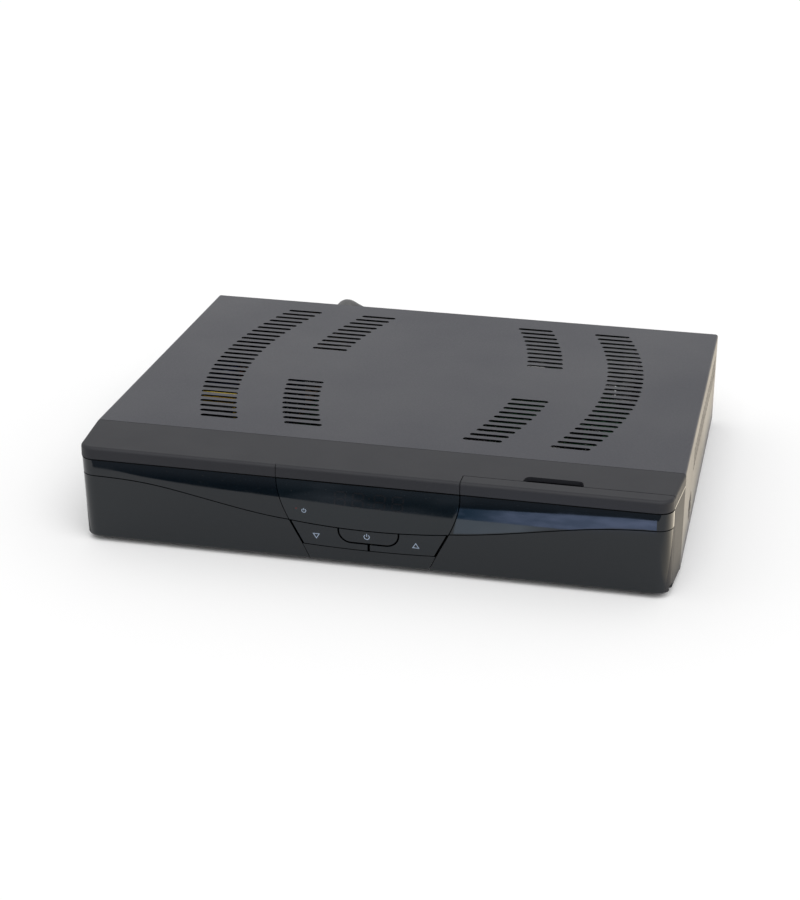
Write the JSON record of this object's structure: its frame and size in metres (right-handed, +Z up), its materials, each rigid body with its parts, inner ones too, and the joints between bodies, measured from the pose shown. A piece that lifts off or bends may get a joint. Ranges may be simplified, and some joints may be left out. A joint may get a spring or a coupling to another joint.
{
  "type": "satellite tv receiver",
  "caption": "Flat set-top satellite receiver: vented sheet steel cover, leaning gloss black front with display window, push buttons and a drop-down flap over card slots.",
  "frame": {"origin": "on the table, under the middle of the receiver between its front lip and the tips of its aerial sockets, without the mains lead", "axes": "+X to the right seen from the front, -Y out of the front, +Z up"},
  "size_m": [0.281, 0.3228, 0.0505],
  "materials": {
    "cover_paint": "satin black powder coat",
    "bezel_black": "moulded black plastic, satin top strip, gloss front",
    "piano_black": "high gloss black",
    "smoked_lens": "smoked acrylic",
    "zinc_sheet": "zinc plated sheet",
    "screw_zinc": "zinc plated",
    "screw_black": "black oxide",
    "foot_rubber": "matt",
    "pcb_green": "solder mask",
    "brown_board": "phenolic board",
    "grey_sheet": "insulating sheet",
    "black_part": "moulded",
    "chip_black": "moulded chip",
    "alu": "extruded",
    "ferrite": "sintered",
    "yellow_tape": "polyester tape",
    "cap_sleeve": "shrink sleeve",
    "glass_tube": "clear",
    "plated": "tin plated",
    "nickel": "nickel plated",
    "white_cable": "flat cable",
    "lamp_red": "tinted lens",
    "ir_dark": "infrared filter",
    "cord_pvc": "PVC sheath",
    "plug_pvc": "moulded PVC",
    "steel_pin": "ground"
  },
  "bodies": {
    "receiver": {"front_bezel": "bezel_black", "left_trim": "piano_black", "centre_panel": "bezel_black", "display_lens": "smoked_lens", "hinge_pins": "steel_pin", "door_catch": "black_part", "top_cover": "cover_paint", "base_chassis": "zinc_sheet", "rear_panel": "zinc_sheet", "rubber_feet": "foot_rubber", "cover_screws": "screw_black", "panel_screws": "screw_zinc", "board_screws": "screw_zinc", "board_standoffs": "nickel", "insulating_sheet": "grey_sheet", "main_board": "pcb_green", "psu_board": "brown_board", "front_board": "pcb_green", "tact_switches": "black_part", "display_module": "black_part", "ir_receiver": "ir_dark", "standby_led": "lamp_red", "ribbon_cable": "white_cable", "transformer_core": "ferrite", "transformer_coil": "yellow_tape", "bulk_capacitor": "cap_sleeve", "output_capacitors": "cap_sleeve", "psu_heatsink": "alu", "line_choke": "ferrite", "mains_fuse": "glass_tube", "decoder_chip": "chip_black", "chip_heatsink": "alu", "memory_chips": "chip_black", "board_capacitors": "cap_sleeve", "module_cage": "plated", "card_reader": "black_part", "supply_harness": "white_cable", "tuner_can": "plated", "aerial_sockets": "nickel", "aerial_nuts": "nickel", "usb_socket": "plated", "hdmi_socket": "plated", "ethernet_socket": "plated", "optical_socket": "black_part", "phono_sockets": "black_part", "scart_socket": "black_part", "mains_switch": "black_part", "strain_relief": "plug_pvc", "mains_lead": "cord_pvc", "mains_tail": "cord_pvc", "lead_coil": "cord_pvc", "lead_tie": "black_part", "mains_plug": "plug_pvc", "plug_pins": "nickel"},
    "power_key": {"power_button": "piano_black"},
    "down_key": {"down_button": "piano_black"},
    "up_key": {"up_button": "piano_black"},
    "flap": {"front_door": "bezel_black", "door_trim": "piano_black"},
    "rocker": {"mains_rocker": "black_part"}
  },
  "joints": [
    {"name": "power_press", "type": "slide", "parent": "receiver", "child": "power_key", "axis": [0, 1, 0], "range_m": [0, 0.0005], "stiffness_N_per_m": 300, "springref_m": -0.0005},
    {"name": "down_press", "type": "slide", "parent": "receiver", "child": "down_key", "axis": [0, 1, 0], "range_m": [0, 0.0005], "stiffness_N_per_m": 300, "springref_m": -0.0005},
    {"name": "up_press", "type": "slide", "parent": "receiver", "child": "up_key", "axis": [0, 1, 0], "range_m": [0, 0.0005], "stiffness_N_per_m": 300, "springref_m": -0.0005},
    {"name": "flap_hinge", "type": "hinge", "parent": "receiver", "child": "flap", "pos_m": [0.091, -0.1107, 0.0057], "axis": [1, 0, 0], "range_deg": [0, 80]},
    {"name": "rocker_hinge", "type": "hinge", "parent": "receiver", "child": "rocker", "pos_m": [-0.112, 0.1081, 0.0285], "axis": [1, 0, 0], "range_deg": [0, 20]}
  ]
}
